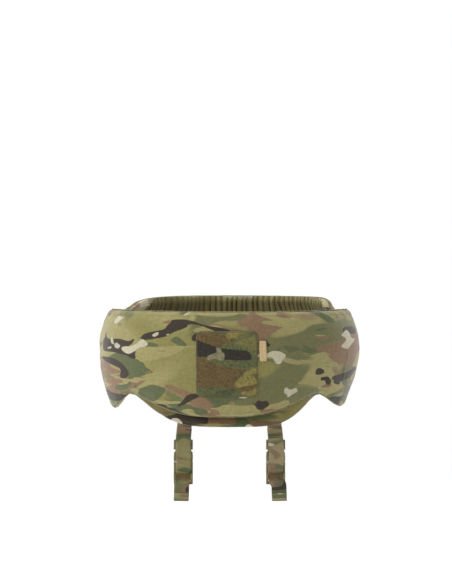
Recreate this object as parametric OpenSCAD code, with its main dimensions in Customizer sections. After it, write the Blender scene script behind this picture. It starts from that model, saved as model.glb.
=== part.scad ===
// Ballistic neck protector: padded front and rear collar panels, a bib and two quick-release loop straps.
// Millimetres. Z up, the front faces -Y, origin in the middle of the neck opening at the front top edge.

/* [Front panel] */
// Half width of the front panel at its top edge
wing_half_top = 165; // [140:1:180]
// Half width where the wings bulge most, half way down
wing_half_mid = 179.5; // [150:1:195]
// Half width at the wing tips
wing_half_tip = 161; // [140:1:180]
// Height from the top edge down to the left wing tip
wing_height = 137; // [110:1:160]
// The same for the right wing tip
right_wing_height = 133; // [110:1:160]
// Height of the front panel at its centre
front_height = 138; // [110:1:160]
// Height from the top edge down to the notch between centre and wing
notch_height = 111; // [95:1:125]
// Distance of the front face from the origin at the top edge
front_reach_top = 120; // [105:1:130]
// The same half way down
front_reach_mid = 127; // [110:1:140]
// The same at the lower edge
front_reach_low = 128; // [110:1:140]
// Thickness of the padded front panel
front_thick = 12; // [9:0.5:16]
// How far round the front panel wraps, measured from its centre
wrap_angle = 94; // [91:0.5:97]
// Angle at which the notch sits
notch_angle = 48.5; // [44:0.5:54]
// Angle at which the wing tip sits
tip_angle = 82; // [76:0.5:86]
// How far the lower outline is turned to the left, as the collar is worn
low_turn = 2.4; // [0:0.2:4]
// How far the lower half hangs over to the left
low_sway = 2.6; // [0:0.2:4]

/* [Rear panel] */
// Distance of the rear face from the origin at the rim
rear_reach_top = 121; // [105:1:130]
// The same half way down
rear_reach_mid = 127; // [110:1:140]
// The same at the lower edge
rear_reach_low = 131; // [110:1:145]
// Thickness of the padded rear panel
rear_thick = 14; // [10:0.5:16]
// How far the rear rim rises above the front top edge
rear_rise = 13; // [5:1:20]
// How square the rim's left shoulder is
left_shoulder = 4; // [3:0.5:8]
// How square the rim's right shoulder is
right_shoulder = 14; // [3:0.5:16]
// Depth of the rear panel below the front top edge at its centre
rear_drop = 114; // [95:1:125]
// Depth of the rear panel at its sides
rear_drop_side = 100; // [90:1:110]
// How far round the rear panel reaches, measured from the back
rear_angle = 105; // [100:0.5:108]
// Space between the wings and the rear panel for the closure strips
closure_gap = 4.4; // [4:0.1:6]

/* [Bib] */
// Thickness of the padded bib
bib_thick = 9; // [7:0.5:11]
// Space between front panel and bib
bib_gap = 1.6; // [1.2:0.1:3]
// Depth of the bib's seam below the top edge
bib_top = 92; // [85:1:98]
// Depth of the bib's lower edge below the top edge
bib_drop = 153.5; // [145:0.5:160]
// How far round the bib reaches to each side
bib_angle = 56; // [48:0.5:57]
// How far the bib's outline is turned to the left
bib_turn = 0.8; // [0:0.2:4]

/* [Patch field] */
// Width of the patch field
patch_width = 81; // [60:1:95]
// Height of the patch field
patch_height = 86; // [60:1:95]
// Corner radius of the patch field
patch_corner = 7; // [3:0.5:10]
// Depth of its upper edge below the top edge
patch_top = 25; // [20:1:30]
// Offset of the patch field from the centre line
patch_shift = -3.3; // [-6:0.1:6]

/* [Straps and buckles] */
// Distance of each strap from the centre line
strap_x = 61.7; // [50:0.1:66]
// Webbing width
web_width = 19.2; // [15:0.1:19.4]
// Webbing thickness
web_thick = 1.6; // [1.2:0.1:1.8]
// Depth of the buckle's upper end below the top edge
buckle_top = 172; // [170:0.5:176]
// Width of the buckle
buckle_width = 25.4; // [25.2:0.2:30]
// Thickness of the buckle
buckle_thick = 9; // [8.5:0.1:10]
// Depth of the webbing's tail end below the top edge
tail_end = 253; // [250:1:262]

/* [Hidden] */
$fn = 48;
// plan shape of the collar: exponent of the rounded oval
oval = 2.2;
rise = 2 / oval;
// cloth skin, and the play between skin and pack
skin = 1.4;
play = 0.8;
// edge rounding of the padded panels
front_round = 3.2;
rear_round = 4.6;
bib_round = 2.9;
// stations along a long panel
steps = 42;
rows = 9;
// the rear panel is hinged behind the left wing and closed inside the right one
split_angle = 84.9;
lap_angle = 85.06;
// the straps' sewn ends lie on the bib's inner face, and the straps hang straight down from them
anchor_top = bib_top + 24;
anchor_end = bib_drop + 1.9;
anchor_depth = front_thick + bib_gap + bib_thick + 0.15;
anchor_y = face_point(strap_x + sway(-anchor_end), -anchor_end, anchor_depth + web_thick / 2)[1];
// buckle place
buckle_y = anchor_y + buckle_thick / 2 + 0.25 - web_thick / 2;
web_front = buckle_y - buckle_thick / 2 - 0.35 - web_thick;

function blend3(a, b, c, u) = a * (1 - u) * (1 - 2 * u) + 4 * b * u * (1 - u) + c * u * (2 * u - 1);
function ease(u) = (1 - cos(180 * min(1, max(0, u)))) / 2;
function power(v, e) = (v < 0 ? -1 : 1) * pow(abs(v), e);
// share of the wing's height at z, the bulge lying above its middle; above the top edge the walls stand straight
function share(z) = pow(-min(z, 0) / wing_height, 0.8);
function sway(z) = -low_sway * ease((-z - 50) / 80);
function half_x(z) = blend3(wing_half_top, wing_half_mid, wing_half_tip, share(z));
function front_y(z) = blend3(front_reach_top, front_reach_mid, front_reach_low, share(z));
function rear_y(z) = blend3(rear_reach_top, rear_reach_mid, rear_reach_low, share(z));
// a point on the front panel: t degrees round from the centre, at height z, o inward of the face
function on_front(t, z, o) = [
  sway(z) + (half_x(z) - o) * power(sin(t), rise),
  -(front_y(z) - o) * power(cos(t), rise),
  z
];
// the same for the rear panel, t degrees round from the back
inset = front_thick + closure_gap;
function on_rear(t, z, o) = [
  sway(z) + (half_x(z) - inset - o) * power(sin(t), rise),
  abs(t) < 90
    ? (rear_y(z) - o) * power(cos(t), rise)
    : (front_y(z) - inset - o) * power(cos(t), rise),
  z
];
function on_bib(t, z, o) = on_front(t, z, o + front_thick + bib_gap);
function point_on(kind, t, z, o) = kind == 0 ? on_front(t, z, o)
  : kind == 1 ? on_rear(t, z, o) : on_bib(t, z, o);

// lower and upper edges of the three panels
function front_low(t) =
  let (a = abs(t + low_turn), drop = t < 0 ? wing_height : right_wing_height)
  a < notch_angle
    ? -front_height + (front_height - notch_height) * ease(pow(a / notch_angle, 1.5))
    : -notch_height
      - (drop - notch_height) * sin(90 * min(1, (a - notch_angle) / (tip_angle - notch_angle)))
      + 16 * pow(max(0, abs(t) - tip_angle) / (wrap_angle - tip_angle), 2);
function front_high(t) = abs(t) < 90 ? 0 : -5 * pow((abs(t) - 90) / (wrap_angle - 90), 2);
function rear_high(t) =
  rear_rise * (1 - pow(min(1, abs(t) / (t < 0 ? 80 : 84)), t < 0 ? left_shoulder : right_shoulder))
  - 20 * max(0, abs(t) - 84) / 21;
function rear_low(t) = -rear_drop_side
  - (rear_drop - rear_drop_side) * ease(1 - abs(t) / 70)
  + 12 * pow(max(0, abs(t) - 90) / 15, 2);
function bib_low(t) = -bib_drop + (bib_drop - notch_height - 2) * ease(pow(abs(t + bib_turn) / 53, 2.6));
function low(kind, t) = kind == 0 ? front_low(t) : kind == 1 ? rear_low(t) : bib_low(t);
function high(kind, t) = kind == 0 ? front_high(t) : kind == 1 ? rear_high(t) : -bib_top;
// how far the face falls inward at distance s from an edge, for a rounding of r
function fall(s, r) = s >= r ? 0 : r - sqrt(max(0, r * r - (r - s) * (r - s)));

// a closed solid through rings of equal length, each ring an outer run followed by the inner run reversed
module loft(rings) {
  m = len(rings);
  n = len(rings[0]);
  half = n / 2;
  points = [for (r = rings) for (p = r) p];
  sides = [for (i = [0:m - 2]) for (j = [0:n - 1])
    let (a = i * n + j, b = i * n + (j + 1) % n, c = a + n, d = b + n)
    each [[a, b, d], [a, d, c]]];
  first = [for (j = [0:half - 2]) each [[j, n - 2 - j, j + 1], [j, n - 1 - j, n - 2 - j]]];
  e = (m - 1) * n;
  last = [for (j = [0:half - 2])
    each [[e + j, e + j + 1, e + n - 2 - j], [e + j, e + n - 2 - j, e + n - 1 - j]]];
  polyhedron(points = points, faces = concat(sides, first, last), convexity = 8);
}

// a closed band through rings that join up end to end
module band(rings) {
  m = len(rings);
  n = len(rings[0]);
  points = [for (r = rings) for (p = r) p];
  faces = [for (i = [0:m - 1]) for (j = [0:n - 1])
    let (k = (i + 1) % m, a = i * n + j, b = i * n + (j + 1) % n, c = k * n + j, d = k * n + (j + 1) % n)
    each [[a, b, d], [a, d, c]]];
  polyhedron(points = points, faces = faces, convexity = 8);
}

// millimetres round the collar for one degree
degree = 2.6;
// heights of the rows of one station, closer together near the edges
function row_at(j, n) = ease(j / n) * 0.7 + 0.3 * j / n;

// a layer of a panel between two depths, its edges drawn in by margin
// each face follows the rounding of the edge by its own share: 1 falls inward, -1 outward, 0 stays flat
module layer(kind, from, to, o1, o2, f1, f2, r, margin, n, k) {
  loft([for (i = [0:n])
    let (
      t = from + (to - from) * i / n,
      top = high(kind, t) - margin,
      bottom = low(kind, t) + margin,
      ends = min(abs(t - from), abs(to - t)) * degree
    )
    concat(
      [for (j = [0:k]) let (
        z = top + (bottom - top) * row_at(j, k),
        f = r == 0 ? 0 : fall(min(ends, top - z, z - bottom), r))
        point_on(kind, t, z, o1 + f1 * f)],
      [for (j = [k:-1:0]) let (
        z = top + (bottom - top) * row_at(j, k),
        f = r == 0 ? 0 : fall(min(ends, top - z, z - bottom), r))
        point_on(kind, t, z, o2 + f2 * f)]
    )
  ]);
}

// the binding tape round a panel's edge: a flat band from inside the edge to just proud of it
module edging(kind, from, to, o1, o2, inside, proud, proud_from, n, k) {
  step = (to - from) / n;
  deg = 1 / degree;
  outline = concat(
    [for (i = [0:n]) [from + step * i, high(kind, from + step * i), 0, 1]],
    [for (j = [1:k - 1]) [to, high(kind, to) + (low(kind, to) - high(kind, to)) * j / k, 1, 0]],
    [for (i = [n:-1:0]) [from + step * i, low(kind, from + step * i), 0, -1]],
    [for (j = [k - 1:-1:1]) [from, high(kind, from) + (low(kind, from) - high(kind, from)) * j / k, -1, 0]]
  );
  band([for (p = outline)
    let (
      edge_t = p[0] == to ? 1 : p[0] == from ? -1 : 0,
      ti = p[0] - edge_t * inside * deg,
      tp = p[0] + edge_t * (p[0] == from ? proud_from : proud) * deg,
      zi = p[1] - p[3] * inside,
      zp = p[1] + p[3] * proud
    )
    [point_on(kind, ti, zi, o1), point_on(kind, p[0], p[1], o1), point_on(kind, tp, zp, o1),
     point_on(kind, tp, zp, o2), point_on(kind, p[0], p[1], o2), point_on(kind, ti, zi, o2)]
  ]);
}

module front_cover() color([0.55, 0.52, 0.33])
  layer(0, -wrap_angle, wrap_angle, 0, skin, 1, 1, front_round, 0, steps, rows + 1);

module front_ballistic_pack() color([0.16, 0.17, 0.18])
  layer(0, -wrap_angle + 4, wrap_angle - 4, skin + play, front_thick - skin - play, 0, 0, 0, 9, 30, 8);

module front_lining() color([0.3, 0.27, 0.18])
  layer(0, -wrap_angle, wrap_angle, front_thick - skin, front_thick, -1, -1, front_round, 0, steps, rows + 1);

module front_edge_binding() color([0.28, 0.24, 0.16])
  edging(0, -wrap_angle, wrap_angle, front_round + skin + 0.3,
    front_thick - front_round - skin - 0.3, 2.5, 1.2, 1.2, steps, 6);

// the patch field follows the curved face of the front panel
module on_face(width, height, corner, top, shift, o1, o2, n, k) {
  loft([for (i = [0:n])
    let (
      s = height * row_at(i, n),
      e = min(s, height - s),
      w = width / 2 - (e >= corner ? 0 : corner - sqrt(corner * corner - pow(corner - e, 2))),
      z = -top - s
    )
    concat(
      [for (j = [0:k]) face_point(shift - w + 2 * w * j / k, z, o1)],
      [for (j = [k:-1:0]) face_point(shift - w + 2 * w * j / k, z, o2)]
    )
  ]);
}
function face_point(x, z, o) =
  [x, -(front_y(z) - o) * pow(1 - pow(abs(x - sway(z)) / (half_x(z) - o), oval), 1 / oval), z];

module patch_field() color([0.45, 0.4, 0.2])
  on_face(patch_width, patch_height, patch_corner, patch_top, patch_shift, -2.2, -0.2, 14, 10);

// tab folded out from under the right edge of the patch field
tab_x = patch_shift + patch_width / 2;
tab_top = patch_top + 12.5;
tab_height = 27;
module side_tab() color([0.85, 0.72, 0.47])
  on_face(10.5, tab_height, 0.8, tab_top, tab_x + 5.9, -1.9, -0.2, 6, 3);

strip_top = 20;
strip_drop = 96;
hook_thick = 1.6;
// flat strips lie this far off the curved cloth, so that their facets stay clear of it
seat = 0.6;
loop_pile = closure_gap - hook_thick - 0.55;
// closure strips: hooks inside the wings, loops on the rear panel's ends
module strip_layer(kind, from, to, o1, o2) {
  loft([for (i = [0:6])
    let (t = from + (to - from) * i / 6)
    concat(
      [for (j = [0:8]) point_on(kind, t, -strip_top - (strip_drop - strip_top) * j / 8, o1)],
      [for (j = [8:-1:0]) point_on(kind, t, -strip_top - (strip_drop - strip_top) * j / 8, o2)]
    )
  ]);
}
module right_wing_hook_strip() color([0.12, 0.12, 0.1])
  strip_layer(0, 73, 88, front_thick + seat, front_thick + hook_thick);
module left_wing_hook_strip() color([0.12, 0.12, 0.1])
  strip_layer(0, -88, -73, front_thick + seat, front_thick + hook_thick);
module right_lap_loop_strip() color([0.4, 0.37, 0.2])
  strip_layer(1, 91.5, 103, -loop_pile, -0.1);
module left_lap_loop_strip() color([0.4, 0.37, 0.2])
  strip_layer(1, -103, -91.5, -loop_pile, -0.1);

module left_closure_lap() color([0.5, 0.48, 0.3])
  layer(1, -rear_angle, -lap_angle, 0, rear_thick, 1, -1, rear_round, 0, 12, rows);

module rear_cover() color([0.55, 0.52, 0.33])
  layer(1, -split_angle, rear_angle, 0, skin, 1, 1, rear_round, 0, steps, rows);

module rear_ballistic_pack() color([0.16, 0.17, 0.18])
  layer(1, -split_angle + 4, rear_angle - 5, skin + play, rear_thick - skin - play, 1, -1, 1.2, 9, 30, 8);

module rear_lining() color([0.24, 0.21, 0.13])
  layer(1, -split_angle, rear_angle, rear_thick - skin, rear_thick, -1, -1, rear_round, 0, steps, rows);

module rear_edge_binding() color([0.28, 0.24, 0.16])
  edging(1, -split_angle, rear_angle, rear_round + skin + 0.2,
    rear_thick - rear_round - skin - 0.2, 2.5, 1.2, -0.1, steps, 6);

module bib_cover() color([0.5, 0.48, 0.3])
  layer(2, -bib_angle, bib_angle, 0, skin, 1, 1, bib_round, 0, 28, 5);

module bib_ballistic_pack() color([0.16, 0.17, 0.18])
  layer(2, -bib_angle + 9, bib_angle - 9, skin + play, bib_thick - skin - play, 0, 0, 0, 6, 16, 3);

module bib_lining() color([0.3, 0.27, 0.18])
  layer(2, -bib_angle, bib_angle, bib_thick - skin, bib_thick, -1, -1, bib_round, 0, 28, 5);

// seam tape between the front lining and the bib's upper edge
module bib_seam_tape() color([0.2, 0.17, 0.12])
  loft([for (i = [0:26])
    let (t = (bib_angle - 3) * (2 * i / 26 - 1))
    [point_on(0, t, -bib_top - 4, front_thick + 0.35), point_on(0, t, -bib_top - 10, front_thick + 0.35),
     point_on(0, t, -bib_top - 10, front_thick + bib_gap - 0.4),
     point_on(0, t, -bib_top - 4, front_thick + bib_gap - 0.4)]
  ]);

// sewn strap ends, following the bib's inner face
module anchor(side) {
  left = side * strap_x - web_width / 2;
  loft([for (i = [0:8])
    let (z = -anchor_top - (anchor_end - anchor_top) * i / 8)
    concat(
      [for (j = [0:4]) face_point(left + web_width * j / 4, z, anchor_depth)],
      [for (j = [4:-1:0]) face_point(left + web_width * j / 4, z, anchor_depth + web_thick)]
    )
  ]);
}
module left_strap_anchor() color([0.42, 0.38, 0.24]) anchor(-1);
module right_strap_anchor() color([0.42, 0.38, 0.24]) anchor(1);

// a strip of webbing from its side profile, [y, z] down one face and back up the other
module webbing(side, profile) {
  translate([side * strap_x - web_width / 2, 0, 0])
    rotate([90, 0, 90])
      linear_extrude(height = web_width)
        polygon(profile);
}
// height of the sewn fold where the front web leaves the carrier web
fold_z = -buckle_top + 7.5;
swing_z = -anchor_end - 0.3 - web_thick / 2;
carrier_y = web_front + web_thick + 0.1;
bar_z = -buckle_top - 2.5;
slot_r = 2.2;
function round_bar(r, from, to, n) = [for (i = [0:n])
  let (a = from + (to - from) * i / n) [buckle_y + r * cos(a), bar_z + r * sin(a)]];
module carrier(side) {
  w = web_thick;
  translate([side * strap_x - web_width / 2, 0, 0])
    rotate([90, 0, 90])
      linear_extrude(height = web_width)
        difference() {
          polygon(concat(
            [for (i = [0:4]) let (a = 45 * i)
              [carrier_y + w / 2 + w / 2 * cos(a), swing_z + w / 2 * sin(a)]],
            [[carrier_y, fold_z - 4]],
            round_bar(slot_r + w, 180, 395, 14),
            [[carrier_y + 2 * w, fold_z + 1], [carrier_y + 2 * w, fold_z + 5],
             [carrier_y + w, fold_z + 6]]
          ));
          polygon(concat(
            round_bar(slot_r, 180, 395, 14),
            [[carrier_y + w + 0.1, fold_z - 2.4]]
          ));
        }
}
module left_carrier_web() color([0.42, 0.38, 0.24]) carrier(-1);
module right_carrier_web() color([0.42, 0.38, 0.24]) carrier(1);

// the web in front of the buckle runs straight down through the clip's frame and ends in a hemmed tail
hem = 10;
module loop_web(side) {
  w = web_thick;
  webbing(side, [
    [web_front, fold_z], [web_front, -tail_end + hem], [web_front - w, -tail_end + hem],
    [web_front - w, -tail_end + 0.6], [web_front - w + 0.8, -tail_end],
    [web_front + w - 0.8, -tail_end], [web_front + w, -tail_end + 0.6], [web_front + w, fold_z]
  ]);
}
module left_loop_web() color([0.42, 0.38, 0.24]) loop_web(-1);
module right_loop_web() color([0.42, 0.38, 0.24]) loop_web(1);

// side-release buckle, drawn with its upper end at z = 0 and its middle on the origin
cavity_width = buckle_width - 4.6;
cavity_thick = buckle_thick - 3.4;
mouth = 29;
module at_buckle(side) translate([side * strap_x, buckle_y, -buckle_top]) children();
// a block with its outer corners rounded in the view from the front
module slab(w, t, z0, z1, r) {
  translate([0, t / 2, 0])
    rotate([90, 0, 0])
      linear_extrude(height = t)
        union() {
          translate([-w / 2 + r, z1]) square([w - 2 * r, z0 - z1]);
          translate([-w / 2, z1 + r]) square([w, z0 - z1 - 2 * r]);
          for (x = [-1, 1]) for (z = [z0 - r, z1 + r]) translate([x * (w / 2 - r), z]) circle(r = r);
        }
}
module socket_half() {
  difference() {
    union() {
      slab(buckle_width, buckle_thick, -7, -mouth, 1.6);
      for (x = [-1, 1])
        translate([x * (buckle_width / 2 - 1.5), 0, 0]) slab(3, 4.6, -0.4, -10, 1.3);
      translate([-buckle_width / 2 + 1.2, 0, -2.5])
        rotate([0, 90, 0]) cylinder(r = 2, h = buckle_width - 2.4);
    }
    // cavity, open downwards
    translate([-cavity_width / 2, -cavity_thick / 2, -mouth - 1])
      cube([cavity_width, cavity_thick, mouth - 8]);
    // waist on each side, where the latches show
    for (x = [-1, 1])
      translate([x * (cavity_width / 2 + 2.5) - 2.5, -buckle_thick, -21.6])
        cube([5, 2 * buckle_thick, 8.4]);
    // shallow panel sunk in each face
    for (y = [-1, 1])
      translate([-6, y * buckle_thick / 2 - 0.5, -20]) cube([12, 1, 8]);
  }
}
module left_buckle_socket() color([0.36, 0.33, 0.2]) at_buckle(-1) socket_half();
module right_buckle_socket() color([0.36, 0.33, 0.2]) at_buckle(1) socket_half();

// clip half: guide prong, base with the latch pockets, and the web frame below
base_top = -mouth - 0.5;
frame_end = -60;
latch_x = cavity_width / 2 - 1.8;
latch_tip = buckle_width / 2 - 0.2;
latch_z = -31.8;
latch_r = 1.6;
pocket_r = latch_r + 0.4;
web_back = web_front + web_thick - buckle_y;
grip_low = 51.6;
grip_tall = 6.6;
module clip_half() {
  difference() {
    union() {
      slab(buckle_width, buckle_thick - 0.8, base_top, -36, 1.4);
      // guide prong
      translate([-2.2, -1.6, base_top - 1]) cube([4.4, 3.2, 17]);
      // side rails
      for (x = [-1, 1])
        translate([x * (buckle_width / 2 - 1.4), 0, 0]) slab(2.8, 5.4, -33, frame_end, 1.2);
      // rear bars of the web frame, behind the web
      translate([-buckle_width / 2 + 1.4, -2.4, frame_end]) cube([buckle_width - 2.8, 4.6, 3.4]);
      // ears that carry the grip bar in front of the web
      for (x = [-1, 1])
        translate([x * (buckle_width / 2 - 1.3) - 1.3, web_back - web_thick - 3.2, -grip_low - 0.2])
          cube([2.6, 6.2 + 2.7, grip_tall + 0.4]);
    }
    // pockets of the two latches
    for (x = [-1, 1]) {
      translate([x * latch_x, buckle_thick, latch_z]) rotate([90, 0, 0]) cylinder(r = pocket_r, h = 2 * buckle_thick);
      translate([x * latch_x - pocket_r, -buckle_thick, latch_z]) cube([2 * pocket_r, 2 * buckle_thick, 6]);
    }
  }
}
module left_buckle_clip() color([0.36, 0.33, 0.2]) at_buckle(-1) clip_half();
module right_buckle_clip() color([0.36, 0.33, 0.2]) at_buckle(1) clip_half();

// ribbed bar that grips the web
module grip() {
  width = buckle_width - 5.4;
  y0 = web_back - web_thick - 0.45;
  difference() {
    translate([-width / 2, y0 - 2.6, -grip_low]) cube([width, 2.6, grip_tall]);
    for (i = [0:3])
      translate([-width / 2 - 1, y0 - 2.9, -grip_low + 1 + 1.55 * i]) cube([width + 2, 0.8, 0.6]);
  }
}
module left_grip_bar() color([0.42, 0.27, 0.14]) at_buckle(-1) grip();
module right_grip_bar() color([0.42, 0.27, 0.14]) at_buckle(1) grip();

// sprung latch arm on the x side of a clip
module latch(x) {
  t = 3.8;
  union() {
    translate([x * latch_x, t / 2, latch_z]) rotate([90, 0, 0]) cylinder(r = latch_r, h = t);
    translate([x * latch_x - 1.2, -t / 2, latch_z]) cube([2.4, t, 16]);
    // shoulder that catches in the socket's waist
    translate([0, t / 2, 0])
      rotate([90, 0, 0])
        linear_extrude(height = t)
          polygon([[x * (latch_x - 1.2), -15.2], [x * (latch_x + 1.6), -15.2], [x * latch_tip, -17.6],
            [x * latch_tip, -20.8], [x * (latch_x + 1), -20.8], [x * (latch_x - 1.2), -22]]);
  }
}
module left_clip_latch_outer() color([0.36, 0.33, 0.2]) at_buckle(-1) latch(-1);
module left_clip_latch_inner() color([0.36, 0.33, 0.2]) at_buckle(-1) latch(1);
module right_clip_latch_outer() color([0.36, 0.33, 0.2]) at_buckle(1) latch(1);
module right_clip_latch_inner() color([0.36, 0.33, 0.2]) at_buckle(1) latch(-1);

front_cover();
front_ballistic_pack();
front_lining();
front_edge_binding();
bib_seam_tape();
patch_field();
side_tab();
left_wing_hook_strip();
right_wing_hook_strip();
left_closure_lap();
left_lap_loop_strip();
rear_cover();
rear_ballistic_pack();
rear_lining();
rear_edge_binding();
right_lap_loop_strip();
bib_cover();
bib_ballistic_pack();
bib_lining();
left_strap_anchor();
right_strap_anchor();
left_carrier_web();
right_carrier_web();
left_loop_web();
right_loop_web();
left_buckle_socket();
right_buckle_socket();
left_buckle_clip();
right_buckle_clip();
left_grip_bar();
right_grip_bar();
left_clip_latch_outer();
left_clip_latch_inner();
right_clip_latch_outer();
right_clip_latch_inner();
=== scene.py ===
import bpy
from bisect import bisect_left
from math import atan2, copysign, cos, degrees, hypot, pi, radians, sin, sqrt
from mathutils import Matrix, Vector, noise
from mathutils.bvhtree import BVHTree


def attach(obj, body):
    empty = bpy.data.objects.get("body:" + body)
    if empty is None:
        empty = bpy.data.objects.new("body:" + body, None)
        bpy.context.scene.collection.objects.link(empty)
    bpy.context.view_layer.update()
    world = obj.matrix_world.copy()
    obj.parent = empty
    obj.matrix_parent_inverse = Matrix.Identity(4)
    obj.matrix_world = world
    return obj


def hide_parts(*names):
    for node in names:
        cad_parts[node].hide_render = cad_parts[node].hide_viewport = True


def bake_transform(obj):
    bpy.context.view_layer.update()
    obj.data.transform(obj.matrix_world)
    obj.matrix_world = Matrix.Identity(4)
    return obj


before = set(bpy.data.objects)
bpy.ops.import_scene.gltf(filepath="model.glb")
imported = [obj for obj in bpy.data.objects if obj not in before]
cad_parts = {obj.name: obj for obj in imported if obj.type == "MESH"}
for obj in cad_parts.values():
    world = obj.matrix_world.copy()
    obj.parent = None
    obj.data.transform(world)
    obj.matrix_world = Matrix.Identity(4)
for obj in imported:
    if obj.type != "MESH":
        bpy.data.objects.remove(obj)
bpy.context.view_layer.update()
MM = 0.001

# ---- camera, light and floor, in metres

CAMERA_PLACE, CAMERA_DOWN, CAMERA_TURN = (0, -2.124, 0.093), 1.91, 0.131
CAMERA_LENS, CAMERA_SENSOR, CAMERA_REACH = 94.13, 36, 50
CENTRE, CHEST = (0, 0, 0), (0, 0, -0.05)
LAMPS = (  # name, place, what it points at, side of its square, power
    ("key", (-2.3, -1.35, 1.3), CHEST, 1.4, 50),
    ("side", (2.4, 0.3, 0.8), CHEST, 1.4, 14),
    ("top", (0.0, 0.5, 2.2), CENTRE, 1.6, 26),
    ("back_left", (-1.7, 1.7, 1.0), CENTRE, 1.2, 16),
    ("back_right", (1.7, 1.7, 1.0), CENTRE, 1.2, 18),
)
FLOOR_Z, FLOOR_RADIUS, FLOOR_SIDES = -0.42, 4, 64
FLOOR_GREY, FLOOR_FADE = (0.86, 0.86, 0.86, 1), (0.55, 1.5)
WHITE = (1, 1, 1, 1)

scene = bpy.context.scene


def new_object(name, data):
    o = bpy.data.objects.new(name, data)
    scene.collection.objects.link(o)
    return o


cam = new_object("camera", bpy.data.cameras.new("camera"))
cam.location = CAMERA_PLACE
cam.rotation_euler = (radians(90 - CAMERA_DOWN), 0, radians(CAMERA_TURN))
cam.data.sensor_width = CAMERA_SENSOR
cam.data.lens = CAMERA_LENS
cam.data.clip_end = CAMERA_REACH
scene.camera = cam
scene.view_settings.view_transform = "Standard"

for name, where, aim, size, watts in LAMPS:
    data = bpy.data.lights.new(name, "AREA")
    data.size, data.energy = size, watts
    o = new_object(name, data)
    o.location = where
    o.rotation_euler = (Vector(where) - Vector(aim)).to_track_quat("Z", "Y").to_euler()


class Tree:
    """Writes a node tree: tree(kind, {socket: value, node or output}, property=value) is a new node."""

    def __init__(self, owner):
        owner.use_nodes = True
        self.tree = owner.node_tree
        self.tree.nodes.clear()

    def __call__(self, kind, ins=None, **props):
        n = self.tree.nodes.new("ShaderNode" + kind)
        for k, v in props.items():
            setattr(n, k, v)
        for k, v in (ins or {}).items():
            self.feed(n.inputs[k], v)
        return n

    def feed(self, socket, v):
        """Join a node or an output to a socket, or set its own value."""
        if isinstance(v, bpy.types.Node):
            v = v.outputs[0]
        if isinstance(v, bpy.types.NodeSocket):
            self.tree.links.new(v, socket)
        else:
            socket.default_value = v

    def math(self, op, a, b=0.0, c=0.0):
        return self("Math", {0: a, 1: b, 2: c}, operation=op)

    def times(self, a, b, plus=None):
        return self.math("MULTIPLY", a, b) if plus is None else self.math("MULTIPLY_ADD", a, b, plus)

    def move(self, place, scale, shift):
        """A place, node or output, scaled and then shifted."""
        return self("VectorMath", {0: place, 1: scale, 2: shift}, operation="MULTIPLY_ADD")

    def noise(self, place, scale, detail=2.0, rough=0.5, warp=0.0):
        """Its value and its colour."""
        return self("TexNoise", {"Vector": place, "Scale": scale, "Detail": detail, "Roughness": rough,
                                 "Distortion": warp}).outputs

    def mix(self, f, a, b, blend="MIX"):
        """Two colours mixed, each an output or a tuple."""
        n = self("Mix", {0: f}, data_type="RGBA", blend_type=blend)
        for i, v in ((6, a), (7, b)):
            self.feed(n.inputs[i], (*v, 1) if isinstance(v, tuple) else v)
        return n.outputs[2]

    def step(self, v, lo, hi):
        """0 up to lo, 1 from hi on, smooth between them."""
        return self("MapRange", {0: v, 1: lo, 2: hi, 3: 0.0, 4: 1.0},
                    interpolation_type="SMOOTHSTEP").outputs[0]


def srgb(text):
    """A colour written as six hexadecimal digits, as linear values."""
    c = [int(text[i:i + 2], 16) / 255 for i in (0, 2, 4)]
    return tuple(x / 12.92 if x <= 0.04045 else ((x + 0.055) / 1.055) ** 2.4 for x in c)


scene.world = bpy.data.worlds.new("world")
g = Tree(scene.world)
ray = g("LightPath")
white = g("Background", {"Color": WHITE, "Strength": 1.0})
soft = g("Background", {"Color": WHITE, "Strength": 0.5})
mixed = g("MixShader", {0: ray.outputs["Is Camera Ray"], 1: soft, 2: white})
g("OutputWorld", {0: mixed})

floor_mesh = bpy.data.meshes.new("floor")
ring = [a * pi / (FLOOR_SIDES // 2) for a in range(FLOOR_SIDES)]
ring = [(FLOOR_RADIUS * cos(a), FLOOR_RADIUS * sin(a), FLOOR_Z) for a in ring]
floor_mesh.from_pydata(ring, [], [list(range(FLOOR_SIDES))])
floor = new_object("floor", floor_mesh)
m = bpy.data.materials.new("floor")
g = Tree(m)
dist = g("VectorMath", {0: g("TexCoord").outputs["Object"], 1: (0, 0, -FLOOR_Z)}, operation="ADD")
far = g.step(g("VectorMath", {0: dist}, operation="LENGTH").outputs["Value"], *FLOOR_FADE)
matt = g("BsdfDiffuse", {"Color": FLOOR_GREY})
glow = g("Emission", {"Color": WHITE, "Strength": 1.0})
seen = g.times(far, g("LightPath").outputs["Is Camera Ray"])
g("OutputMaterial", {0: g("MixShader", {0: seen, 1: matt, 2: glow})})
floor_mesh.materials.append(m)

# ---- the collar's form, in millimetres, as the CAD source has it
# A place on a panel: its angle t round the collar in degrees, 0 in the middle, its height z and its
# depth o inside the outer face.

OVAL = 2.2
RISE = 2 / OVAL
FRONT, REAR, BIB = 0, 1, 2
FRONT_THICK, REAR_THICK, BIB_THICK = 12, 14, 9
HALF_WIDTH, FRONT_DEPTH, REAR_DEPTH = (165, 179.5, 161), (120, 127, 128), (121, 127, 131)
TALL, BARREL = 137, 0.8
BIB_OFFSET = 13.6
INSET = 16.4
PATCH = dict(width=81, height=86, corner=7, top=25, shift=-3.3)
TURN, BIB_TURN, SWAY = 2.4, 0.8, 2.6
SHOULDER, WING_SPAN, WING_END = 48.5, 33.5, 82
MIDDLE_LOW, SHOULDER_LOW, LEFT_LOW, RIGHT_LOW = -138, -111, -137, -133
REAR_TOP, REAR_END, REAR_LOW = 13, 84, -100
BIB_TOP, BIB_LOW = -92, -153.5
STRAP_X = 61.7


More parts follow.
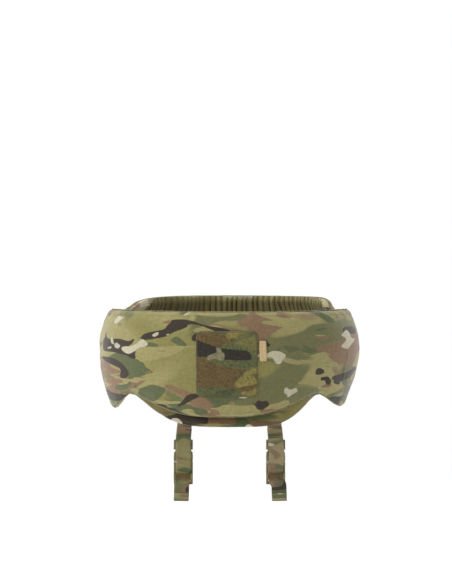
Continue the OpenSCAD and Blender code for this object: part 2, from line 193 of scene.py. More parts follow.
def blend3(a, b, c, u):
    """The parabola through a, b and c at u = 0, 0.5 and 1."""
    return a * (1 - u) * (1 - 2 * u) + 4 * b * u * (1 - u) + c * u * (2 * u - 1)


def ease(u):
    return (1 - cos(pi * min(1, max(0, u)))) / 2


def ramp(x, a, b):
    """0 up to a, 1 from b on, smooth between them."""
    x = min(1, max(0, (x - a) / (b - a)))
    return x * x * (3 - 2 * x)


def power(v, e):
    return copysign(abs(v) ** e, v)


def share_of(z):
    return (-min(z, 0) / TALL) ** BARREL


def sway(z):
    return -SWAY * ease((-z - 50) / 80)


def half_x(z):
    return blend3(*HALF_WIDTH, share_of(z))


def front_y(z):
    return blend3(*FRONT_DEPTH, share_of(z))


def rear_y(z):
    return blend3(*REAR_DEPTH, share_of(z))


def point(kind, t, z, o):
    s, c = sin(radians(t)), cos(radians(t))
    if kind == REAR:
        deep = rear_y(z) - o if abs(t) < 90 else front_y(z) - INSET - o
        return Vector((sway(z) + (half_x(z) - INSET - o) * power(s, RISE), deep * power(c, RISE), z))
    if kind == BIB:
        o = o + BIB_OFFSET
    return Vector((sway(z) + (half_x(z) - o) * power(s, RISE), -(front_y(z) - o) * power(c, RISE), z))


def out_of(kind, t, z):
    """The direction out of the panel's face."""
    along = point(kind, t + 0.5, z, 0) - point(kind, t - 0.5, z, 0)
    up = point(kind, t, z + 1, 0) - point(kind, t, z - 1, 0)
    n = along.cross(up).normalized()
    return n if n.dot(point(kind, t, z, -1) - point(kind, t, z, 0)) > 0 else -n


def face_point(x, z, o):
    """The place at x and z on the front's face, at depth o inside it."""
    side = abs(x - sway(z)) / (half_x(z) - o)
    return Vector((x, -(front_y(z) - o) * (1 - side ** OVAL) ** (1 / OVAL), z))


def front_low(t):
    a, low = abs(t + TURN), LEFT_LOW if t < 0 else RIGHT_LOW
    if a < SHOULDER:
        return MIDDLE_LOW + (SHOULDER_LOW - MIDDLE_LOW) * ease((a / SHOULDER) ** 1.5)
    wing = (SHOULDER_LOW - low) * sin(radians(90 * min(1, (a - SHOULDER) / WING_SPAN)))
    return SHOULDER_LOW - wing + 16 * (max(0, abs(t) - WING_END) / 12) ** 2


def front_high(t):
    return -1.3 * ramp(abs(t), 66, 88) - 5 * (max(0, abs(t) - 90) / 4) ** 2


def rear_high(t):
    end, square = (80, 4) if t < 0 else (REAR_END, 14)
    return REAR_TOP * (1 - min(1, abs(t) / end) ** square) - 20 * max(0, abs(t) - REAR_END) / 21


def rear_low(t):
    return REAR_LOW - 14 * ease(1 - abs(t) / 70) + 12 * max(0, (abs(t) - 90) / 15) ** 2


def bib_low(t):
    reach, bend = (57.9, 1.86) if t < -BIB_TURN else (53, 2.6)
    return BIB_LOW + 40.5 * ease((abs(t + BIB_TURN) / reach) ** bend)


def fixed(value):
    return lambda t: value


# ---- materials

UV = "surface"
CAMO = dict(base="98905f", base2="86804c", green="6d6d48", green2="5c6242", brown="836a50",
            dark="3d342b", sand="bbb59b")
CAMO_SHAPES = (  # colour, width, height, seed, detail, roughness, warp, noise at the edge's two sides
    ("base2", 150, 90, 1, 1.5, 0.45, 0.6, 0.42, 0.58),
    ("green", 120, 52, 2, 2.0, 0.45, 0.9, 0.52, 0.57),
    ("brown", 150, 58, 3, 2.0, 0.45, 0.8, 0.54, 0.565),
    ("green2", 66, 30, 4, 1.5, 0.4, 0.9, 0.60, 0.62),
    ("base", 80, 24, 8, 1.5, 0.4, 1.0, 0.60, 0.615),
    ("brown", 76, 18, 9, 1.5, 0.4, 0.8, 0.655, 0.665),
    ("dark", 84, 30, 5, 1.4, 0.4, 0.9, 0.645, 0.651),
    ("sand", 62, 26, 6, 1.2, 0.4, 0.7, 0.70, 0.707),
)
CAMO_SPOTS = (  # colour, width and height of a cell, seed, the oval's size, share of the cells with one
    ("sand", 62, 44, 1, 0.12, 0.16),
    ("dark", 46, 32, 2, 0.15, 0.14),
)
CLOTH_GRAIN = 0.0004


def palette(**change):
    return {k: srgb(v) for k, v in {**CAMO, **change}.items()}


def coordinates(g, seed):
    """Place on the cloth in millimetres, moved on by a seed so that no two pieces repeat."""
    return g.move(g("UVMap", uv_map=UV), (1000, 1000, 0), (seed * 613.0, seed * 377.0, 0))


def solid_coordinates(g):
    """Place in the object's own space in millimetres."""
    place = g("TexCoord").outputs["Object"]
    return g("VectorMath", {0: place, 1: (1000, 1000, 1000)}, operation="MULTIPLY")


def field(g, where, sx, sy, shift, detail=1.5, rough=0.45, warp=0.6):
    """Noise whose features are about sx wide and sy high, in millimetres."""
    p = g.move(where, (1 / sx, 1 / sy, 0), (shift * 7.3, shift * 3.1, shift * 1.7))
    return g.noise(p, 1.0, detail, rough, warp)[0]


def spots(g, where, sx, sy, shift, size, share):
    """Scattered small ovals: a share of the cells of a Voronoi pattern holds one each."""
    bend = g.noise(where, 0.06, 1.0)[1]
    p = g.move(where, (1 / sx, 1 / sy, 0), (shift * 5.7, shift * 2.9, 0))
    p = g.move(bend, (0.5, 0.5, 0), p)
    cell = g("TexVoronoi", {"Vector": p, "Scale": 1.0, "Randomness": 1.0},
             voronoi_dimensions="2D", feature="F1")
    near = g.step(cell.outputs["Distance"], size + 0.035, size)
    pick = g("SeparateColor", {0: cell.outputs["Color"]})
    return g.times(near, g.math("LESS_THAN", pick.outputs[0], share))


def camouflage(g, where, p, k):
    """A generic camouflage: broad soft shapes and a few sharp ones, in palette p at scale k."""
    c = p["base"]
    for colour, sx, sy, seed, detail, rough, warp, lo, hi in CAMO_SHAPES:
        shape = field(g, where, sx * k, sy * k, seed, detail, rough, warp)
        c = g.mix(g.step(shape, lo, hi), c, p[colour])
    for colour, sx, sy, seed, size, share in CAMO_SPOTS:
        c = g.mix(spots(g, where, sx * k, sy * k, seed, size, share), c, p[colour])
    return c


def wave(g, along, pitch):
    return g.math("SINE", g.times(along, 2 * pi / pitch))


def woven(g, where, pitch, slub=1.0):
    """(brightness, height) of a plain weave with uneven threads."""
    x = g("SeparateXYZ", {0: where})
    cross = g.times(wave(g, x.outputs[0], pitch), wave(g, x.outputs[1], pitch))
    weft = field(g, where, 6 * slub, 0.7, 11, 1.0, 0.5, 0.0)
    warp = field(g, where, 0.7, 6 * slub, 12, 1.0, 0.5, 0.0)
    uneven = g.math("SUBTRACT", g.math("ADD", weft, warp), 1.0)
    light = g.times(uneven, 0.5, g.times(cross, 0.05, 1.0))
    return light, g.times(cross, 0.35, uneven)


def surface(g, colour, height, rough, bump, depth, sheen, sheen_rough=0.45, specular=0.25):
    normal = g("Bump", {"Height": height, "Strength": bump, "Distance": depth})
    b = g("BsdfPrincipled", {"Base Color": colour, "Normal": normal, "Roughness": rough})
    b.inputs["Sheen Weight"].default_value = sheen
    b.inputs["Sheen Roughness"].default_value = sheen_rough
    b.inputs["Specular IOR Level"].default_value = specular
    g("OutputMaterial", {0: b})


def new_material(name, seed=None):
    """The material, its tree and the place on the cloth, or without a seed in the object."""
    m = bpy.data.materials.new(name)
    g = Tree(m)
    return m, g, solid_coordinates(g) if seed is None else coordinates(g, seed)


def shade(g, colour, light):
    both = g("CombineColor", {0: light, 1: light, 2: light})
    return g.mix(1.0, colour, both.outputs[0], "MULTIPLY")


def cloth(name, seed, pal=None, pitch=1.1, k=1.0, sheen=0.3):
    """Printed camouflage cloth."""
    m, g, w = new_material(name, seed)
    light, height = woven(g, w, pitch)
    fade = g.times(field(g, w, 60, 60, 21), 0.16, 0.92)
    c = shade(g, camouflage(g, w, pal or palette(), k), g.times(light, fade))
    surface(g, c, height, 0.86, 0.5, CLOTH_GRAIN, sheen)
    return m


def plain(name, seed, colour, other, pitch, rough, sheen, bump=0.5, slub=1.0):
    """Cloth of one colour that drifts into another."""
    m, g, w = new_material(name, seed)
    light, height = woven(g, w, pitch, slub)
    c = g.mix(g.step(field(g, w, 30, 30, 5, 2.0), 0.35, 0.65), srgb(colour), srgb(other))
    surface(g, shade(g, c, light), height, rough, bump, CLOTH_GRAIN, sheen)
    return m


def gathered(name, seed, ridge, valley_shade, drift, crest):
    """Plain lining cloth with painted light on its folds: a painted highlight along the ridges and
    painted shade between them.
    """
    m, g, w = new_material(name, seed)
    light, height = woven(g, w, 1.2)
    fold = g("Attribute", attribute_name="fold").outputs["Fac"]
    # painted shade in the hollows between the folds, painted highlight on their ridges
    c = g.mix(g.step(fold, -0.35, 0.32), srgb(valley_shade), srgb(ridge))
    c = g.mix(g.times(g.step(field(g, w, 40, 40, 5, 2.0), 0.4, 0.7), 0.3), c, srgb(drift))
    # a paler painted highlight on the highest ridges
    c = g.mix(g.times(g.step(fold, 0.35, 0.9), 0.8), c, srgb(crest))
    surface(g, shade(g, c, light), height, 0.88, 0.5, CLOTH_GRAIN, 0.2)
    return m


def pile(name, seed, colours, grain=0.7, bump=0.9):
    """Brushed loop or hook pile, in two colours or printed with a palette of the camouflage."""
    m, g, w = new_material(name, seed)
    fuzz = field(g, w, grain, grain, 31, 3.0, 0.6, 0.5)
    tuft = field(g, w, 2.6, 2.6, 32, 2.0, 0.5, 0.3)
    both = g.math("ADD", fuzz, tuft)
    if isinstance(colours, dict):
        loops = g.noise(w, 0.7, 1.0)[1]
        c = camouflage(g, g.move(loops, (3.5, 3.5, 0.0), w), colours, 1.35)
    else:
        c = g.mix(g.step(tuft, 0.4, 0.6), *(srgb(x) for x in colours))
    light = g.times(both, 1.6, -0.6)
    surface(g, shade(g, c, light), both, 0.97, bump, 0.0012, 0.3, 0.6, 0.1)
    return m


def webbing(name, seed, pal):
    """Printed nylon webbing: ribs along it, picks across it."""
    m, g, w = new_material(name, seed)
    x = g("SeparateXYZ", {0: w})
    rib = wave(g, x.outputs[0], 1.5)
    turn = g.times(rib, 0.35, g.times(x.outputs[1], 1 / 0.85))
    pick = wave(g, turn, 1)
    height = g.times(rib, 0.6, g.times(pick, 0.5))
    uneven = field(g, w, 3.0, 0.8, 41, 1.0, 0.5, 0.0)
    light = g.times(height, 0.07, g.times(uneven, 0.5, 0.75))
    surface(g, shade(g, camouflage(g, w, pal, 0.8), light), height, 0.8, 0.6, 0.0005, 0.2)
    return m


def moulded(name, colour, other):
    """Moulded nylon with a fine spark-eroded grain and a little wear."""
    m, g, w = new_material(name)
    fine = g.noise(w, 2.6)[0]
    broad = g.noise(w, 0.16, 3.0, 0.6)[0]
    scuff = g.noise(w, 0.9, 4.0, 0.5, 1.2)[0]
    c = g.mix(g.step(broad, 0.35, 0.65), srgb(colour), srgb(other))
    c = g.mix(g.times(g.step(scuff, 0.62, 0.72), 0.25), c, srgb("a39a78"))
    rough = g.times(broad, 0.25, 0.32)
    surface(g, c, fine, rough, 0.25, 0.0002, 0.0, 0.5, 0.45)
    return m


def thread(name, colour):
    m, g, w = new_material(name)
    ply = g("TexWave", {"Vector": w, "Scale": 1.4, "Distortion": 1.0}, bands_direction="DIAGONAL")
    ply = ply.outputs[1]
    tone = g.noise(w, 0.2)[0]
    light = g.times(tone, 0.5, g.times(ply, 0.25, 0.6))
    surface(g, shade(g, srgb(colour), light), ply, 0.7, 0.5, 0.0002, 0.2)
    return m


CLOTH_FRONT = cloth("camouflage_front", 30, sheen=0.4)
# The rear cover's palette is a paler copy of the camouflage: painted highlight for its backlit rims.
CLOTH_REAR = cloth("camouflage_rear", 221, palette(base="a69e70", base2="958e60"), sheen=0.4)
# The bib's palette is a darker, less blue copy of the camouflage: painted shade from the front panel
# above it.
CLOTH_BIB = cloth("camouflage_bib", 162, palette(
    base="7f7644", base2="6a6335", green="525834", green2="434a2b", brown="654f35", dark="2f271b"))
# its ridge and crest colours are painted highlight, its darkest colour painted shade, the third a drift
# of the cloth's own tone
LINING_REAR = gathered("lining_rear", 4, "645c36", "281f0e", "57512c", "968c64")
LINING_FRONT = plain("lining_front", 5, "5d5733", "4a4427", 1.2, 0.9, 0.15)
TAPE = plain("binding_tape", 6, "4f452d", "403724", 0.8, 0.85, 0.1, 0.7, 0.3)
# The front tape's palette is paler than the cover's, with pale dark and brown motifs: painted highlight
# against the shade on the rounded tape.
TAPE_FRONT = cloth("binding_tape_front", 17, palette(
    base="a89f6f", base2="968e5f", green="85855a", brown="97855d", dark="7f7452"), 0.8, 0.8, 0.2)
TAPE_REAR = plain("binding_tape_rear", 16, "857e55", "6f6a48", 0.8, 0.85, 0.1, 0.7, 0.3)
PACK = plain("pack_cover", 7, "25272a", "1b1d20", 1.4, 0.5, 0.0, 0.25)
PILE_CAMO = pile("loop_pile_camouflage", 140, palette(
    base="80773f", base2="706c3b", green="575c36", green2="494f2e", brown="62502c", dark="2b271d",
    sand="7f795a"), 1.4)
LOOP = pile("loop_pile", 9, ("6a6236", "57502c"))
HOOK = pile("hook_tape", 10, ("2e2c20", "1f1d15"), 1.3, 1.0)
TAN = plain("tab_tape", 11, "cdb384", "bba37b", 0.9, 0.85, 0.15, 0.6, 0.3)
WEB = {-1: webbing("webbing_left", 178, palette(base="8f895c", base2="817c50", green="6c6e49")),
       1: webbing("webbing_right", 195, palette(
           base="968a66", base2="8b785d", green="656a49", brown="846f56"))}
PLASTIC = moulded("buckle_plastic", "7d7249", "6b6340")
BROWN = moulded("bar_plastic", "67542a", "584622")
THREAD = thread("thread_olive", "6f6a45")
THREAD_PALE = thread("thread_pale", "b3aa80")
THREAD_DARK = thread("thread_dark", "3d2f20")
THREAD_BROWN = thread("thread_brown", "67532f")

# ---- making pieces

EDGE_ROWS = (0, 1.5, 3.6, 6.8)
BOTH_EDGES = 14
ROUNDNESS = 2.3
LINING_SHIFT = 0.731  # of the lining in its pattern, in metres
HEM = 2.5  # how far the outer cloth reaches round onto the inner side
REACH = 8  # how far outside the cloth a ray starts


def add(name, verts, faces, materials, uv=None, slots=None, attributes=None):
    """A smooth piece: verts in millimetres, uv in metres for each corner of each face."""
    me = bpy.data.meshes.new(name)
    me.from_pydata([tuple(v[i] * MM for i in range(3)) for v in verts], [], faces)
    for mt in materials:
        me.materials.append(mt)
    if uv:
        layer = me.uv_layers.new(name=UV)
        layer.data.foreach_set("uv", [x for face in uv for corner in face for x in corner])
    if slots:
        me.polygons.foreach_set("material_index", slots)
    me.polygons.foreach_set("use_smooth", [True] * len(me.polygons))
    for k, numbers in (attributes or {}).items():
        me.attributes.new(k, "FLOAT", "POINT").data.foreach_set("value", numbers)
    me.update()
    return new_object(name, me)


def bake_modifiers(o):
    dg = bpy.context.evaluated_depsgraph_get()
    baked = o.evaluated_get(dg)
    me = bpy.data.meshes.new_from_object(baked, preserve_all_data_layers=True, depsgraph=dg)
    o.modifiers.clear()
    o.data = me


def subdivide(o, levels):
    s = o.modifiers.new("subdivision", "SUBSURF")
    s.levels = s.render_levels = levels
    s.boundary_smooth = "PRESERVE_CORNERS"
    bake_modifiers(o)


def search_tree(o):
    """The object's mesh, in millimetres, for finding where a ray meets it."""
    me = o.data
    return BVHTree.FromPolygons([v.co / MM for v in me.vertices], [p.vertices[:] for p in me.polygons])


def values(me, name):
    return [a.value for a in me.attributes[name].data]


def distances(points):
    """How far along a line of points each one is."""
    run = [0.0]
    for a, b in zip(points, points[1:]):
        run.append(run[-1] + (b - a).length)
    return run


def step_of(run, s):
    """The index of the step of a rising list that s falls into."""
    return min(max(bisect_left(run, s) - 1, 0), len(run) - 2)


def arc(x, y, radius, angles):
    return [(x + radius * cos(radians(a)), y + radius * sin(radians(a))) for a in angles]


def tangent_at(points, i):
    return (points[min(i + 1, len(points) - 1)] - points[max(i - 1, 0)]).normalized()


def spread(length, count):
    """count + 7 places along a length, close together near both ends."""
    last = EDGE_ROWS[-1]
    mid = [last + (length - 2 * last) * i / count for i in range(1, count)]
    return [*EDGE_ROWS, *mid, *(length - x for x in reversed(EDGE_ROWS))]


class Panel:
    """A padded panel or a layer of one: closed, with rounded edges, on a regular grid.

    It spans the angles t0 to t1 and the heights low(t) to high(t). start is its outer side's depth,
    insets stay free at both sides for swelling, crest is the outer side's share of the thickness.
    Attributes: distance from the edge (ed), side (sd: 1 outer, -1 inner), place along the panel (ua).
    """

    def __init__(self, name, kind, t0, t1, high, low, thick, radius, step=5.2, insets=(0, 0), start=0.0,
                 wrap=lambda t: HEM, materials=(), crest=0.5, inner_radius=None):
        self.kind, self.t0, self.t1, self.high, self.low = kind, t0, t1, high, low
        self.thick, self.start, self.tree = thick, start, None
        middle = (t0 + t1) * 0.5
        height = (high(middle) + low(middle)) / 2
        steps = max(40, int((t1 - t0) * 4))
        self.angles = [t0 + (t1 - t0) * i / steps for i in range(steps + 1)]
        self.lengths = distances([point(kind, t, height, start) for t in self.angles])
        total = self.length = self.lengths[-1]
        tall = max(high(t) - low(t) for t in (t0 + (t1 - t0) * i / 20 for i in range(21)))
        us = spread(total, max(2, round((total - BOTH_EDGES) / step)))
        nv = max(2, round((tall - BOTH_EDGES) / step))
        rows = len(spread(100, nv))
        whole = thick - insets[0] - insets[1]
        self.middle = start + insets[0] + whole * crest
        verts, index, grid, self.pins = [], {}, {}, []
        attributes = {"ed": [], "sd": [], "ua": []}
        for i, u in enumerate(us):
            t = self.angle(u)
            top, bottom = high(t), low(t)
            for j, v in enumerate(spread(top - bottom, nv)):
                d = min(u, total - u, v, top - bottom - v)
                border = i in (0, len(us) - 1) or j in (0, rows - 1)
                for side in ((1,) if border else (1, -1)):
                    share = min(1.0, max(0.0, d) / (radius if side > 0 else inner_radius or radius))
                    half = whole * (crest if side > 0 else 1 - crest)
                    h = 0 if border else half * (1 - (1 - share) ** ROUNDNESS) ** (1 / ROUNDNESS)
                    index[i, j, side] = len(verts)
                    if border:
                        index[i, j, -1] = len(verts)
                        self.pins.append(len(verts))
                    verts.append(point(kind, t, top - v, self.middle - side * h))
                    attributes["ed"].append(d)
                    attributes["sd"].append(0.0 if border else float(side))
                    attributes["ua"].append(u)
                grid[i, j] = (u * MM, (top - v) * MM, d, t)
        faces, uv, slots = [], [], []
        for i in range(len(us) - 1):
            for j in range(rows - 1):
                quad = [(i, j), (i, j + 1), (i + 1, j + 1), (i + 1, j)]
                inside = sum(grid[q][2] for q in quad) / 4 > wrap(grid[i, j][3])
                for side, q in ((1, quad), (-1, quad[::-1])):
                    shift = 0 if side > 0 else LINING_SHIFT
                    faces.append([index[a, b, side] for a, b in q])
                    uv.append([(grid[c][0] + shift, grid[c][1]) for c in q])
                    slots.append(1 if side < 0 and inside and len(materials) > 1 else 0)
        first = faces[0]
        self.object = add(name, verts, faces, materials, uv, slots, attributes)
        way = (verts[first[1]] - verts[first[0]]).cross(verts[first[2]] - verts[first[1]])
        if way.dot(point(kind, self.angle(2), -50, -1) - point(kind, self.angle(2), -50, 0)) < 0:
            self.object.data.flip_normals()

    def angle(self, u):
        """The angle t at a distance along the panel."""
        k = step_of(self.lengths, u)
        (ta, tb), (a, b) = self.angles[k:k + 2], self.lengths[k:k + 2]
        return ta + (tb - ta) * min(1, max(0, (u - a) / (b - a)))

    def loop(self, inset, step=1.0, sides="trbl"):
        """Runs of (t, z) at a distance inside the edge."""
        a, b = inset, self.length - inset
        n = max(2, int((b - a) / step))
        across = [self.angle(a + (b - a) * i / n) for i in range(n + 1)]
        runs = {"t": [(t, self.high(t) - inset) for t in across],
                "b": [(t, self.low(t) + inset) for t in reversed(across)]}
        for key, t in (("r", across[-1]), ("l", across[0])):
            top, bottom = self.high(t) - inset, self.low(t) + inset
            k = max(2, int((top - bottom) / step))
            line = [(t, top + (bottom - top) * i / k) for i in range(k + 1)]
            runs[key] = line if key == "r" else line[::-1]
        return [runs[s] for s in sides]

    def on_surface(self, run, side=1):
        """[(place, direction out of the cloth)] of a run of (t, z) on the finished mesh."""
        self.tree = self.tree or search_tree(self.object)
        found = []
        for t, z in run:
            n = out_of(self.kind, t, z) * side
            base = point(self.kind, t, z, self.start if side > 0 else self.start + self.thick)
            hit = self.tree.ray_cast(base + n * REACH, -n, 2 * REACH)
            if hit[0] is not None:
                found.append((hit[0], n))
        return found


def stitches(name, runs, material, length=2.6, gap=1.0, radius=0.26, lift=0.12):
    """Sewing threads: short arched strands along runs of (place, direction out)."""
    verts, faces = [], []
    rings, sides = 5, 6
    sunk, waist = 0.22, 0.62
    for run in runs:
        if len(run) < 2:
            continue
        travel = distances([place for place, _ in run])
        count = int((travel[-1] + gap) / (length + gap))
        if count < 1:
            continue
        pitch = (travel[-1] + gap) / count
        for c in range(count):
            centres = []
            for r in range(rings):
                s = c * pitch + (pitch - gap) * r / (rings - 1)
                k = step_of(travel, s)
                f = (s - travel[k]) / max(1e-6, travel[k + 1] - travel[k])
                arch = sin(pi * r / (rings - 1))
                n = run[k][1].lerp(run[k + 1][1], f).normalized()
                place = run[k][0].lerp(run[k + 1][0], f) + n * (lift * arch - sunk * (1 - arch))
                centres.append((place, n, waist + (1 - waist) * arch))
            along = (centres[-1][0] - centres[0][0]).normalized()
            base = len(verts)
            for p, n, w in centres:
                side = along.cross(n).normalized()
                for q in range(sides):
                    a = 2 * pi * q / sides
                    verts.append(p + (side * cos(a) + n * sin(a)) * radius * w)
            for r in range(rings - 1):
                for q in range(sides):
                    a, b = base + r * sides + q, base + r * sides + (q + 1) % sides
                    faces.append([a, b, b + sides, a + sides])
            faces.append([base + q for q in reversed(range(sides))])
            faces.append([base + (rings - 1) * sides + q for q in range(sides)])
    return add(name, verts, faces, [material])


def ribbon(name, path, width, thick, material, seed=0.0, across=14, closed=False, edge=0.5):
    """A flat woven strip along a path of (centre, normal, side) with rounded selvedges."""
    section = []
    for i in range(across + 1):
        x = -width / 2 + width * i / across
        e = min(1.0, (width / 2 - abs(x)) / edge)
        section.append((x, thick / 2 * sqrt(max(0.0, 1 - (1 - e) ** 2))))
    loop = section + [(x, -h) for x, h in reversed(section[1:-1])]
    n, count = len(loop), len(path)
    run = distances([c for c, _, _ in path])
    verts = [c + side * x + up * h for c, up, side in path for x, h in loop]
    faces, uv = [], []
    for i in range(count if closed else count - 1):
        k = (i + 1) % count
        v0, v1 = run[i], run[k] if k else run[-1] + (path[0][0] - path[-1][0]).length
        for q in range(n):
            r = (q + 1) % n
            faces.append([i * n + q, k * n + q, k * n + r, i * n + r])
            back = 0.04 if q >= across else 0.0
            u0, u1 = loop[q][0] * MM + back, loop[r][0] * MM + back
            uv.append([(u + seed, v * MM) for u, v in ((u0, v0), (u0, v1), (u1, v1), (u1, v0))])
    if not closed:
        for first, turn in ((0, False), ((count - 1) * n, True)):
            for q in range(across):
                corners = dict.fromkeys((q, q + 1, (n - q - 1) % n, (n - q) % n))
                f = [first + c for c in corners]
                faces.append(f[::-1] if turn else f)
                uv.append([(seed, 0.0)] * len(f))
    return add(name, verts, faces, [material], uv)


def resample(points, step):
    """Evenly spaced points on a smooth curve through the given ones."""
    pts = [points[0] * 2 - points[1], *points, points[-1] * 2 - points[-2]]
    fine, parts = [], 24
    for i in range(1, len(pts) - 2):
        p0, p1, p2, p3 = pts[i - 1:i + 3]
        for k in range(parts):
            u = k / parts
            fine.append(0.5 * (2 * p1 + (p2 - p0) * u + (2 * p0 - 5 * p1 + 4 * p2 - p3) * u * u
                               + (3 * p1 - p0 - 3 * p2 + p3) * u ** 3))
    fine.append(points[-1])
    run = distances(fine)
    n = max(2, round(run[-1] / step))
    out = []
    for i in range(n + 1):
        s = run[-1] * i / n
        k = step_of(run, s)
        out.append(fine[k].lerp(fine[k + 1], (s - run[k]) / max(1e-9, run[k + 1] - run[k])))
    return out


def slot_all(o, *nodes):
    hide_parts(*nodes)


# ---- the three padded panels


def rear_wrap(t):
    """How far the outer cloth reaches round onto the rear's inner side."""
    return HEM + 12 * ramp(-t, 52, 60) + 12 * ramp(t, 70, 76)


front = Panel("front_panel", FRONT, -94, 94, front_high, front_low, FRONT_THICK, 4.2, insets=(1.3, 1.0),
              materials=[CLOTH_FRONT, LINING_FRONT], crest=0.32, inner_radius=7.5)
rear = Panel("rear_panel", REAR, -105, 105, rear_high, rear_low, REAR_THICK, 7.0, insets=(1.3, 1.6),
             materials=[CLOTH_REAR, LINING_REAR], wrap=rear_wrap)
bib = Panel("bib_panel", BIB, -56, 56, fixed(BIB_TOP), bib_low, BIB_THICK, 6.0, step=4.4,
            insets=(0.9, 0.9), materials=[CLOTH_BIB, LINING_FRONT])
PANELS = (front, rear, bib)

CLOTH = dict(quality=5, mass=0.25, tension_stiffness=25, compression_stiffness=25, shear_stiffness=8,
             bending_stiffness=0.6, use_pressure=True, uniform_pressure_force=4.0, shrink_min=-0.018)
FRAMES, MOST_SLIDE, MOST_SINK = 20, 0.9, 0.5
SIDE_Y = 45  # the rear's outer face is tighter in front of this


def swell(panels):
    """Cloth simulation of the padding's pressure, the edge seams held, with a little spare cloth."""
    for p in panels:
        o = p.object
        held = o.vertex_groups.new(name="seam")
        held.add(p.pins, 1.0, "REPLACE")
        cl = o.modifiers.new("Cloth", "CLOTH")
        for k, v in CLOTH.items():
            setattr(cl.settings, k, v)
        cl.settings.vertex_group_mass = "seam"
        cl.settings.effector_weights.gravity = 0
        cl.collision_settings.use_self_collision = False
        cl.point_cache.frame_start, cl.point_cache.frame_end = 1, FRAMES
    for f in range(1, FRAMES + 1):
        scene.frame_set(f)
    dg = bpy.context.evaluated_depsgraph_get()
    moved = [[v.co.copy() for v in p.object.evaluated_get(dg).data.vertices] for p in panels]
    for p, new in zip(panels, moved):
        p.object.modifiers.clear()
        p.object.vertex_groups.clear()
        me = p.object.data
        sides = values(me, "sd")
        normals = [v.normal.copy() for v in me.vertices]
        for v, to, side, n in zip(me.vertices, new, sides, normals):
            d = (to - v.co) / MM
            out = d.dot(n)
            flat = d - n * out
            if flat.length > MOST_SLIDE:
                flat *= MOST_SLIDE / flat.length
            out = max(-MOST_SINK, min(out, room(p, v.co / MM, side)))
            v.co += (n * out + flat) * MM
        me.update()
    scene.frame_set(1)


def room(p, co, side):
    """How far cloth may swell here, in millimetres."""
    if p is front:
        return 2.9 - 1.6 * ramp(abs(co.x), 115, 155) if side > 0 else 0.9
    if p is rear:
        if side > 0:
            return 1.2 if co.y < SIDE_Y else 3.0
        return 2.4
    if side < 0:
        return 0.8
    t = degrees(atan2(power(co.x / 160, 1.1), power(-co.y / 120, 1.1)))
    clear = front_low(t) - co.z
    return 0.8 if clear < -1 else 0.8 + min(2.6, (clear + 1) * 0.45)


swell(PANELS)
for p in PANELS:
    subdivide(p.object, 2 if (p is rear) else 1)


def sculpt(p, form):
    """Move each point along its normal by form(place, ed, sd, ua)."""
    me = p.object.data
    given = zip(values(me, "ed"), values(me, "sd"), values(me, "ua"))
    normals = [v.normal.copy() for v in me.vertices]
    for v, n, (ed, sd, ua) in zip(me.vertices, normals, given):
        v.co += n * form(v.co / MM, ed, sd, ua) * MM
    me.update()


def bumps(x, y, z):
    return noise.noise(Vector((x, y, z)))


def drape(co, ed, sd, ua, broad, fine):
    """Slow swells over the whole cloth and short puckers where the edge is sewn."""
    n = bumps(ua * 0.016, co.z * 0.02, 3.1 + 5 * sd) * broad
    n += bumps(ua * 0.05, co.z * 0.035, 9.7 + 5 * sd) * broad * 0.35
    pucker = fine * bumps(ua * 0.13, co.z * 0.13, 1.7) * ramp(ed, 0.5, 4)
    return n * ramp(ed, 2, 16) + pucker * (1 - ramp(ed, 6, 16))


def creases(ua, z, wide, turn):
    """Soft folds in places, about wide apart and leaning by turn: 0 on the flat, 1 on a ridge."""
    ridge = ramp(1 - abs(bumps((ua + z * turn) / wide, z / (wide * 4), 7.7)) * 5, 0, 1)
    return ridge * ramp(bumps(ua / 40, z / 50, 2.9), -0.1, 0.3)


def front_form(co, ed, sd, ua):
    flow = drape(co, ed, sd, ua, 0.9 if sd > 0 else 0.3, 0.6 if sd > 0 else 0.3)
    if sd <= 0:
        return flow
    wing = ramp(abs(ua - front.length / 2), 150, 185)
    drawn_in = 1.8 * wing * (1 - ramp(-co.z, 10, 45)) * ramp(ed, 0, 8)
    return flow + 1.1 * wing * creases(ua, co.z, 18, -0.2) * ramp(ed, 1, 6) - drawn_in


def closer(ua):
    """How close and sharp the gathers are: 1 at the right end of the rear collar."""
    return ramp(ua, 290, 380)


def pleats(ua, z):
    """Height of the gathered lining: uneven upright folds, some doubled, flatter left of the middle."""
    shift = 6.0 * bumps(ua * 0.03, z * 0.012, 5.3) + 2.4 * bumps(ua * 0.11, z * 0.02, 8.1)
    a = abs(sin(pi * (ua + shift) / 9.0))
    b = abs(sin(pi * (ua + shift * 1.7 + 2.0) / 3.6))
    depth = 0.8 + 0.7 * bumps(ua * 0.06, z * 0.01, 2.2)
    depth *= 1 - 0.55 * ramp(ua, 118, 138) * (1 - ramp(ua, 195, 240))
    close = closer(ua)
    return depth * ((0.8 - 0.2 * close) * (a ** 0.7 - 0.6) + (0.25 + 0.3 * close) * (b - 0.6))


def rear_form(co, ed, sd, ua):
    if sd > 0:
        tight = 0.35 if co.y < SIDE_Y else 1.0
        return drape(co, ed, sd, ua, 1.0 * tight, 0.7 * tight)
    fold = 3.4 * pleats(ua, co.z) * ramp(ed, 2.0, 9.0 - 4.5 * closer(ua))
    fold *= 1 - 0.4 * ramp(-co.z, 20, 100)
    wrap = rear_wrap(rear.angle(ua))
    fold *= ramp(ed, wrap - 3, wrap + 3)
    return -0.3 + fold + drape(co, ed, sd, ua, 0.5, 0.3)


def bib_form(co, ed, sd, ua):
    hem = sd > 0 and co.z < -136
    return drape(co, ed, sd, ua, 0.4 if sd > 0 else 0.2, 0.8 if hem else 0.2)


sculpt(front, front_form)
sculpt(rear, rear_form)
sculpt(bib, bib_form)
me = rear.object.data
